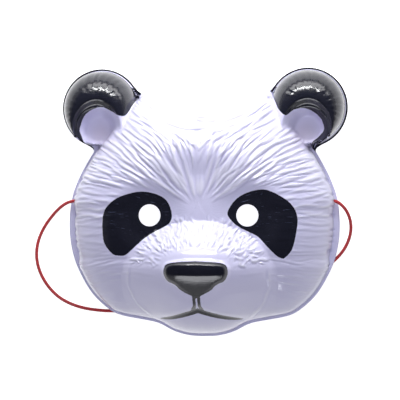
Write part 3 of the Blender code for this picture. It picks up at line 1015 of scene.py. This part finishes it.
def shellLook(colours):
    # Glossy white sheet with a lavender cast, painted shade in the relief's grooves and painted highlights on
    # its ridges, and gloss black paint brushed on by hand, with painted glints on it.
    look = Look("glossyPaintedSheet")
    place = look.place()
    paint = look.attribute("paintDistance")
    relief = look.attribute("relief")
    furry = look.attribute("furry")
    wobble = look.noise(place, 900.0, 2.0)
    covered = (paint + (wobble - 0.5) * 0.5).smooth(-0.16, 0.16)
    cloud = look.noise(place, 34.0, 3.0)
    sheet = look.mix(cloud, colours["shade"], colours["light"])
    # painted shade: the sheet turns darker where the relief sinks into grooves
    sheet = look.mix(relief.smooth(-0.1, -0.55) * 0.55, sheet, colours["valley"])
    # painted highlight: the sheet turns lighter where the relief rises into ridges
    sheet = look.mix(relief.smooth(0.15, 0.6) * 0.5, sheet, colours["ridge"])
    sheet = look.mix(look.attribute("dishTint") * 0.3, sheet, colours["dish"])
    brush = look.noise(place, 260.0, 3.0, (1.0, 5.0, 1.0))
    black = look.mix(brush, colours["black"], colours["brushed"])
    grain = look.noise(place, 620.0, 3.0)
    ripple = look.noise(place, 150.0, 2.0)
    hair = look.hairNoise(0.75, 0.11, 0.0, 3.0) * furry * (1.0 - covered * 0.6)
    height = grain * 0.2 + ripple * 0.8 + covered * 0.35 + brush * covered * 0.5 + hair * 3.0
    # painted glints: thin lighter streaks along the fur's lie on the black paint, in scattered patches
    glintStreaks = look.hairNoise(1.3, 0.10, 7.0, 2.0).smooth(0.655, 0.70)
    patches = look.noise(place, 75.0, 1.0).smooth(0.47, 0.58)
    black = look.mix(glintStreaks * patches * furry * 0.8, black, colours["paintedGlint"])
    return look.finish(
        {
            "Base Color": look.mix(covered, sheet, black),
            "Roughness": 0.11 + grain * 0.10 + covered * 0.02,
            "Normal": look.bump(height, 0.35, 0.00022),
        }
    )


def squareFaces(count, start):
    # Quads of a square grid whose points are numbered from start.
    row, column = np.meshgrid(np.arange(count - 1), np.arange(count - 1), indexing="ij")
    corner = start + row * count + column
    return np.stack([corner, corner + 1, corner + count + 1, corner + count], -1).reshape(-1, 4)


def squareEdge(count, start):
    # The same grid's point numbers once round its edge.
    last = count - 1
    walk = np.arange(last)
    row = np.concatenate([0 * walk, walk, 0 * walk + last, last - walk])
    column = np.concatenate([walk, 0 * walk + last, last - walk, 0 * walk])
    return start + row * count + column


def shellFaces(count):
    # Quads of the fine outer grid, of the inner grid at half its density, and the rim between them.
    inner = count // 2 + 1
    outer = squareFaces(count, 0)
    under = squareFaces(inner, count * count)[:, [0, 3, 2, 1]]
    fine = squareEdge(count, 0)
    coarse = squareEdge(inner, count * count)
    rim = np.stack([fine[::2], coarse, np.roll(coarse, -1), np.roll(fine[::2], -1), fine[1::2]], -1)
    return outer.tolist() + under.tolist() + rim.tolist()


def roundCutter(name, radius, length, centre, turn):
    # A plain round cutter standing along Z before its turn about Y.
    count = 72
    around = np.linspace(0.0, 2 * math.pi, count, endpoint=False)
    ring = np.stack([radius * np.cos(around), radius * np.sin(around), 0 * around], axis=1)
    points = np.vstack([ring - (0, 0, length / 2), ring + (0, 0, length / 2)])
    spin = np.array([[math.cos(turn), 0, math.sin(turn)], [0, 1, 0], [-math.sin(turn), 0, math.cos(turn)]])
    points = points @ spin.T + np.array(centre)
    after = [(step + 1) % count for step in range(count)]
    faces = [(step, after[step], count + after[step], count + step) for step in range(count)]
    faces += [tuple(range(count - 1, -1, -1)), tuple(range(count, 2 * count))]
    mesh = bpy.data.meshes.new(name)
    mesh.from_pydata(points.tolist(), [], faces)
    cutter = bpy.data.objects.new(name, mesh)
    bpy.context.collection.objects.link(cutter)
    return cutter


def cutHoles(piece, head, shell):
    # Eye holes straight down and cord holes through the side wall, cut and then made permanent.
    cutters = []
    up = cordHole["up"]
    edge, _ = softTrimmedEdge(np.array([math.atan2(up, shell["headHalfWidth"])]), head)
    foot = float(edge[0, 0] - flangeWidth(edge[0, 1], shell))
    level = float(rimLift(np.array(foot), np.array(up), shell)) + shell["sheet"] + cordHole["above"]
    for side in (-1, 1):
        place = (side * eye["across"], eye["up"], eye["cutLength"] / 2)
        cutters.append(roundCutter("eyeCutter", eye["hole"] / 2, eye["cutLength"], place, 0.0))
        place = (side * foot, up, level)
        cutters.append(roundCutter("cordCutter", cordHole["radius"], cordHole["length"], place, math.pi / 2))
    for cutter in cutters:
        boolean = piece.modifiers.new(cutter.name, "BOOLEAN")
        boolean.operation = "DIFFERENCE"
        boolean.solver = "EXACT"
        boolean.object = cutter
    bpy.context.view_layer.update()
    finished = bpy.data.meshes.new_from_object(piece.evaluated_get(bpy.context.evaluated_depsgraph_get()))
    piece.modifiers.clear()
    old = piece.data
    piece.data = finished
    finished.name = "maskShell"
    bpy.data.meshes.remove(old)
    for cutter in cutters:
        bpy.data.objects.remove(cutter)


def addValue(mesh, name, values):
    # One number for each point, which the material reads by name.
    layer = mesh.attributes.new(name, "FLOAT", "POINT")
    layer.data.foreach_set("value", np.ascontiguousarray(values, dtype=np.float32))


def makeShell(shell):
    # The smooth sheet, raised along its normals by fur and folds, with its inner face and rim.
    points, beyond, head = smoothSheet(shell)
    normals = gridNormals(points)
    x, y = points[..., 0], points[..., 1]
    print("mask form worked out on", x.shape, "places")
    strokes = furStrokes(fur)
    inside = depthInside(head, x, y) - flangeWidth(y, shell)
    onHead = ease((inside - 0.0008) / 0.004)
    aroundNose = depthInside(noseOutline(nose), x, y)
    smoothNose = ease((-aroundNose - 0.003) / 0.007)
    aroundEye = np.hypot(np.abs(x) - eye["across"], y - eye["up"]) - eye["hole"] / 2
    painted = paintDistance(x, y, head, shell)
    calm = 1.0 - 0.55 * ease((painted + 0.4) / 1.2) * (inside > 0)
    raised = strokeRelief(x, y, strokes)
    raised = fur["limit"] * np.tanh(raised / fur["limit"])
    raised = raised * onHead * smoothNose * ease(aroundEye / 0.003) * calm
    relief = raised + earGrooves(x, y) * ease((0.002 - inside) / 0.003) + grooves(x, y)
    relief = relief + chinFlutes(x, y, shell) + foldNotches(x, y) * ease((0.004 - inside) / 0.003)
    relief = np.where(beyond > 0, 0.0, relief)
    outer = points + relief[..., None] * normals
    down = np.where((beyond >= 0)[..., None], np.array([0.0, 0.0, 1.0]), normals)
    under = (outer - shell["sheet"] * down)[::2, ::2]
    count = outer.shape[0]
    allPoints = np.vstack([outer.reshape(-1, 3), under.reshape(-1, 3)])
    look = shellLook(sheetColours)
    piece = newPiece("maskShell", allPoints.tolist(), shellFaces(count), look)
    both = np.concatenate([relief.ravel(), relief[::2, ::2].ravel()])
    addValue(piece.data, "relief", 1000.0 * both)
    print("fur of", len(strokes), "strokes pressed in")
    cutHoles(piece, head, shell)
    mesh = piece.data
    places = np.zeros(3 * len(mesh.vertices))
    mesh.vertices.foreach_get("co", places)
    places = places.reshape(-1, 3)
    addValue(mesh, "paintDistance", paintOnFace(places, mesh, head, shell))
    x, y = places[:, 0], places[:, 1]
    dish = np.hypot(np.abs(x) - ear["across"] + 0.002, y - ear["up"] + ear["dishDrop"] + 0.004)
    addValue(mesh, "dishTint", np.exp(-((dish / 0.010) ** 2)))
    hairAcross, hairAlong = hairCoordinates(x, y)
    addValue(mesh, "hairAcross", hairAcross)
    addValue(mesh, "hairAlong", hairAlong)
    fromNose = -depthInside(noseOutline(nose), x, y)
    furry = ease((depthInside(head, x, y) - 0.004) / 0.006) * ease((fromNose - 0.012) / 0.012)
    addValue(mesh, "furry", furry * (0.35 + 0.65 * ease((y + 0.03) / 0.03)))
    mesh.set_sharp_from_angle(angle=math.radians(58))
    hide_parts("mask_shell")
    print("mask shell finished with", len(mesh.polygons), "faces")


def paintOnFace(places, mesh, head, shell):
    # Paint lies on the outer face only: the back of the sheet stays bare.
    painted = paintDistance(places[:, 0], places[:, 1], head, shell)
    normal = np.zeros(3 * len(mesh.vertices))
    mesh.vertices.foreach_get("normal", normal)
    facing = normal.reshape(-1, 3)[:, 2]
    return np.where(facing < -0.05, -4.0, painted)


makeShell(maskShell)

studio = {
    "floorSize": 6.0,
    "floorLevel": -0.0002,
    "floorGlow": 0.85,
    "lookAt": (0.0, 0.0, 0.03),  # the panels face this place
    # name, place, size, power, colour, seen in reflections, lights the sheet
    "panels": [
        ("keyPanel", (0.03, 0.50, 0.19), (0.75, 0.16), 2.3, (1.0, 1.0, 1.0), True, True),
        ("stripPanel", (0.0, 0.90, 0.75), (0.90, 0.07), 17.0, (1.0, 1.0, 1.0), True, False),
        ("crownPanel", (0.0, 0.21, 0.10), (0.22, 0.04), 0.32, (1.0, 1.0, 1.0), False, True),
        ("frontPanel", (0.0, -1.25, 0.75), (1.6, 0.5), 16.0, (0.95, 0.96, 1.0), True, False),
        ("overPanel", (0.1, 0.1, 1.5), (1.0, 1.0), 9.0, (0.92, 0.92, 1.0), False, True),
    ],
}


def makeFloor(settings):
    # A pale square just under the mask that glows white.
    half = settings["floorSize"] / 2
    corners = [(-half, -half), (half, -half), (half, half), (-half, half)]
    mesh = bpy.data.meshes.new("studioFloor")
    mesh.from_pydata([(x, y, settings["floorLevel"]) for x, y in corners], [], [(0, 1, 2, 3)])
    look = Look("paleFloor")
    grain = look.noise(look.place(), 60.0, 2.0)
    look.finish(
        {
            "Base Color": (0.80, 0.80, 0.80, 1.0),
            "Roughness": 0.7 + grain * 0.1,
            "Emission Color": (1.0, 1.0, 1.0, 1.0),
            "Emission Strength": settings["floorGlow"],
        }
    )
    mesh.materials.append(look.material)
    floor = bpy.data.objects.new("studioFloor", mesh)
    bpy.context.collection.objects.link(floor)
    floor.visible_diffuse = False  # its glow whitens the picture but doesn't light the mask's sides


def makeLight(name, place, size, power, colour, reflected, lighting):
    # A soft panel that faces the mask.
    data = bpy.data.lights.new(name, "AREA")
    data.shape = "RECTANGLE"
    data.size, data.size_y = size
    data.energy = power
    data.color = colour
    light = bpy.data.objects.new(name, data)
    bpy.context.collection.objects.link(light)
    light.location = place
    light.rotation_euler = (Vector(place) - Vector(studio["lookAt"])).to_track_quat("Z", "Y").to_euler()
    light.visible_glossy = reflected
    light.visible_diffuse = lighting


def makeWorld():
    # Bright low down all round and dim overhead, like a white tent with the camera's gap on top.
    world = bpy.data.worlds.new("softTent")
    world.use_nodes = True
    bpy.context.scene.world = world
    tree = world.node_tree
    back = tree.nodes["Background"]
    place = tree.nodes.new("ShaderNodeTexCoord")
    parts = tree.nodes.new("ShaderNodeSeparateXYZ")
    ramp = tree.nodes.new("ShaderNodeValToRGB")
    stops = ramp.color_ramp.elements
    stops[0].position, stops[0].color = 0.0, (0.30, 0.30, 0.33, 1.0)
    stops[1].position, stops[1].color = 0.55, (0.07, 0.07, 0.10, 1.0)
    for spot in (0.02, 0.10):
        stops.new(spot).color = (0.9, 0.9, 0.9, 1.0)
    tree.links.new(place.outputs["Generated"], parts.inputs[0])
    tree.links.new(parts.outputs[2], ramp.inputs[0])
    tree.links.new(ramp.outputs[0], back.inputs[0])
    back.inputs[1].default_value = 1.0


makeFloor(studio)
for panel in studio["panels"]:
    makeLight(*panel)
makeWorld()
bpy.context.scene.view_settings.view_transform = "Standard"
print("studio lit")
